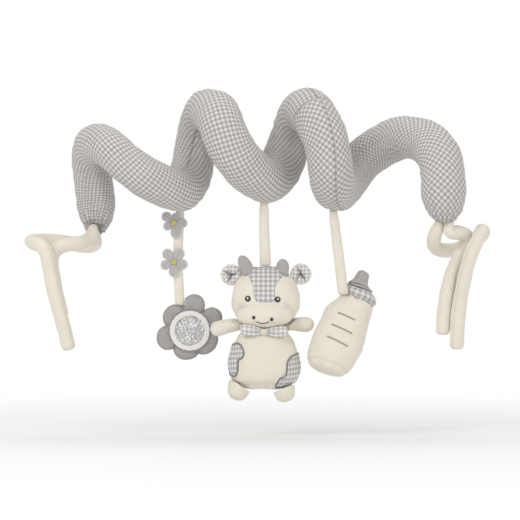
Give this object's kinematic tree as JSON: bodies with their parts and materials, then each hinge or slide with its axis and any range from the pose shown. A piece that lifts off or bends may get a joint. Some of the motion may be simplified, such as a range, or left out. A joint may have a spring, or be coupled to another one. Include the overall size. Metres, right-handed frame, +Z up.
{
  "type": "activity spiral toy",
  "caption": "Stuffed gingham tube wound to go round a bar, with tie cords at its ends and a flower with a mirror, a cow and a milk bottle hanging from straps.",
  "frame": {"origin": "on the centre line of the spiral's bore, at the top of its arch", "axes": "+X to the viewer's right along the arch, +Y to the back, +Z up; the toys hang along -Z"},
  "size_m": [0.4177, 0.1024, 0.2799],
  "materials": {
    "grey_gingham": "woven grey and white gingham cotton",
    "cream_velour": "cream short-pile velour",
    "grey_velour": "grey short-pile velour",
    "grey_felt": "grey felt",
    "white_velour": "off-white velour",
    "yellow_thread": "yellow embroidery",
    "black_thread": "near-black embroidery",
    "grey_thread": "grey embroidery",
    "silver_film": "crinkled silver film"
  },
  "bodies": {
    "wound_tube": {"spiral_tube": "grey_gingham", "left_tie_front": "cream_velour", "left_tie_back": "cream_velour", "right_tie_front": "cream_velour", "right_tie_back": "cream_velour"},
    "flower_strap": {"flower_strap": "cream_velour", "upper_felt_flower": "grey_felt", "upper_felt_centre": "yellow_thread", "lower_felt_flower": "grey_felt", "lower_felt_centre": "yellow_thread"},
    "flower": {"flower_petals": "grey_velour", "flower_mirror": "silver_film", "flower_ring": "white_velour"},
    "cow_strap": {"cow_strap": "cream_velour"},
    "cow": {"cow_head": "cream_velour", "cow_body": "cream_velour", "cow_muzzle": "cream_velour", "cow_forehead_panel": "grey_gingham", "cow_left_eye": "black_thread", "cow_right_eye": "black_thread", "cow_left_nostril": "black_thread", "cow_right_nostril": "black_thread", "cow_smile": "black_thread", "cow_left_ear": "grey_gingham", "cow_right_ear": "grey_gingham", "cow_left_horn": "grey_felt", "cow_right_horn": "grey_felt", "cow_bow": "grey_gingham", "cow_bow_knot": "cream_velour", "cow_left_patch": "grey_gingham", "cow_right_patch": "grey_gingham"},
    "cow_left_arm": {"cow_left_arm": "cream_velour"},
    "cow_right_arm": {"cow_right_arm": "cream_velour"},
    "cow_left_leg": {"cow_left_leg": "cream_velour"},
    "cow_right_leg": {"cow_right_leg": "cream_velour"},
    "bottle_strap": {"bottle_strap": "cream_velour"},
    "bottle": {"bottle_body": "cream_velour", "bottle_ring": "grey_gingham", "bottle_collar": "grey_felt", "bottle_teat": "grey_felt", "bottle_low_mark": "grey_thread", "bottle_middle_mark": "grey_thread", "bottle_high_mark": "grey_thread"}
  },
  "joints": [
    {"name": "flower_swing", "type": "hinge", "parent": "wound_tube", "child": "flower_strap", "pos_m": [-0.06713, 0.00877, -0.05947], "axis": [1, 0, 0], "range_deg": [-6, 35]},
    {"name": "flower_twist", "type": "hinge", "parent": "flower_strap", "child": "flower", "pos_m": [-0.07053, 0.00877, -0.14297], "axis": [0, 0, 1], "range_deg": [-10, 30]},
    {"name": "cow_swing", "type": "hinge", "parent": "wound_tube", "child": "cow_strap", "pos_m": [0.00388, -0.00614, -0.05309], "axis": [1, 0, 0], "range_deg": [-35, 6]},
    {"name": "cow_twist", "type": "hinge", "parent": "cow_strap", "child": "cow", "pos_m": [0.00538, -0.00614, -0.10559], "axis": [0, 0, 1], "range_deg": [-6, 25]},
    {"name": "cow_left_arm_flap", "type": "hinge", "parent": "cow", "child": "cow_left_arm", "pos_m": [-0.01782, -0.01014, -0.15779], "axis": [0, 0, 1], "range_deg": [-5, 40], "stiffness_Nm_per_rad": 0.01},
    {"name": "cow_right_arm_flap", "type": "hinge", "parent": "cow", "child": "cow_right_arm", "pos_m": [0.02398, -0.00314, -0.15779], "axis": [0, 0, -1], "range_deg": [-5, 40], "stiffness_Nm_per_rad": 0.01},
    {"name": "cow_left_leg_flap", "type": "hinge", "parent": "cow", "child": "cow_left_leg", "pos_m": [-0.01642, -0.00714, -0.20649], "axis": [1, 0, 0], "range_deg": [-20, 20], "stiffness_Nm_per_rad": 0.01},
    {"name": "cow_right_leg_flap", "type": "hinge", "parent": "cow", "child": "cow_right_leg", "pos_m": [0.02238, -0.00714, -0.20699], "axis": [1, 0, 0], "range_deg": [-20, 20], "stiffness_Nm_per_rad": 0.01},
    {"name": "bottle_swing", "type": "hinge", "parent": "wound_tube", "child": "bottle_strap", "pos_m": [0.07009, -0.00211, -0.06043], "axis": [1, 0, 0], "range_deg": [-35, 30]},
    {"name": "bottle_twist", "type": "hinge", "parent": "bottle_strap", "child": "bottle", "pos_m": [0.07859, -0.00811, -0.13243], "axis": [0, 0, 1], "range_deg": [-20, 20]}
  ]
}
